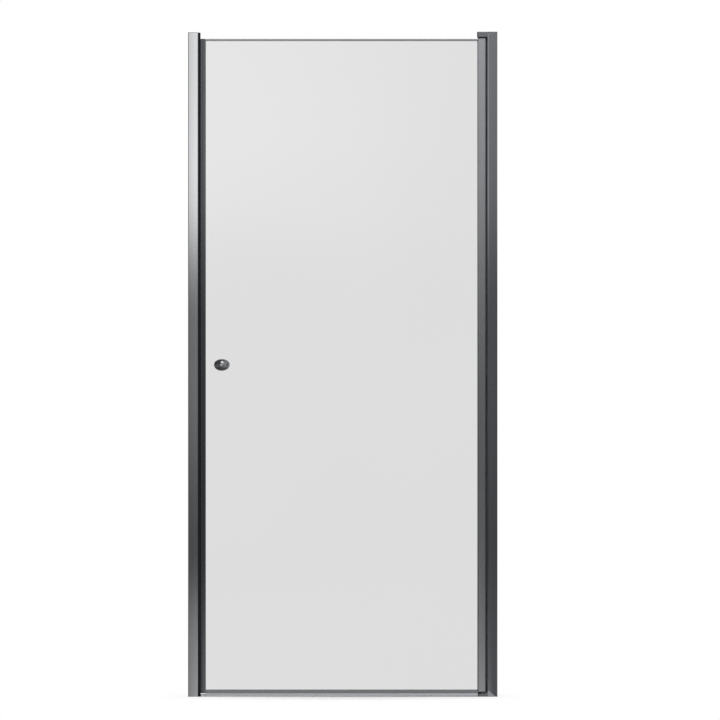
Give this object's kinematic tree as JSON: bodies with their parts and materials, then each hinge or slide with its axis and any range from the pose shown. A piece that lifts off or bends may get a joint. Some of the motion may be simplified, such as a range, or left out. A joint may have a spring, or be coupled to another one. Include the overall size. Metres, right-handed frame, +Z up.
{
  "type": "shower door",
  "caption": "Framed swing shower door for an alcove: clear glass leaf on pivots between telescoping wall channels, with an oval knob, magnetic seals and a low threshold.",
  "frame": {"origin": "on the tray, midway between the walls, in the plane of the glass's middle", "axes": "+X from the strike wall to the hinge wall, +Y into the shower, +Z up"},
  "size_m": [0.884, 0.077, 1.9],
  "materials": {
    "bright_aluminium": "bright polished and anodised",
    "satin_aluminium": "satin anodised",
    "chromed_plastic": "chrome plated",
    "chromed_zinc": "chrome plated casting",
    "chromed_brass": "polished chrome",
    "cast_zinc": "die cast and tumbled",
    "stainless_steel": "turned",
    "clear_glass": "clear toughened",
    "black_seal": "matt extruded",
    "grey_gasket": "matt extruded",
    "clear_seal": "translucent",
    "magnet_rubber": "matt extruded",
    "white_acetal": "moulded",
    "black_plastic": "moulded",
    "black_acetal": "turned",
    "butyl_tape": "tacky foam"
  },
  "bodies": {
    "frame": {"strike_wall_channel": "bright_aluminium", "strike_post": "bright_aluminium", "strike_magnet_seal": "black_seal", "strike_magnet_strip": "magnet_rubber", "strike_stop_seal": "black_seal", "strike_top_cap": "chromed_plastic", "hinge_wall_channel": "bright_aluminium", "hinge_post": "bright_aluminium", "hinge_lip_seal": "grey_gasket", "hinge_top_cap": "chromed_plastic", "upper_pivot_block": "chromed_zinc", "lower_pivot_block": "chromed_zinc", "upper_pivot_bush": "black_acetal", "lower_pivot_bush": "black_acetal", "thrust_washer": "black_acetal", "pivot_block_screws": "stainless_steel", "post_lock_screws": "stainless_steel", "lock_screw_caps": "chromed_plastic", "threshold_rail": "bright_aluminium", "threshold_end_plug": "black_plastic", "threshold_bedding_tape": "butyl_tape"},
    "door_leaf": {"glass_pane": "clear_glass", "hinge_profile": "satin_aluminium", "hinge_gasket": "grey_gasket", "lower_pivot_plug": "cast_zinc", "upper_pivot_plug": "cast_zinc", "lower_pivot_pin": "stainless_steel", "upper_pivot_pin": "stainless_steel", "pivot_plug_screws": "stainless_steel", "closing_profile": "bright_aluminium", "closing_gasket": "grey_gasket", "leaf_magnet_seal": "black_seal", "leaf_magnet_strip": "magnet_rubber", "closing_lower_end_cap": "chromed_plastic", "closing_upper_end_cap": "chromed_plastic", "bottom_rail": "satin_aluminium", "bottom_rail_gasket": "grey_gasket", "bottom_wiper_seal": "clear_seal", "top_trim": "satin_aluminium", "top_trim_gasket": "grey_gasket", "outer_knob": "chromed_brass", "inner_knob": "chromed_brass", "outer_knob_gasket": "clear_seal", "inner_knob_gasket": "clear_seal", "knob_sleeve": "white_acetal", "knob_stud": "stainless_steel", "knob_grub_screw": "stainless_steel"}
  },
  "joints": [
    {"name": "door_swing", "type": "hinge", "parent": "frame", "child": "door_leaf", "pos_m": [0.3986, 0, 0], "axis": [0, 0, 1], "range_deg": [0, 100]}
  ]
}
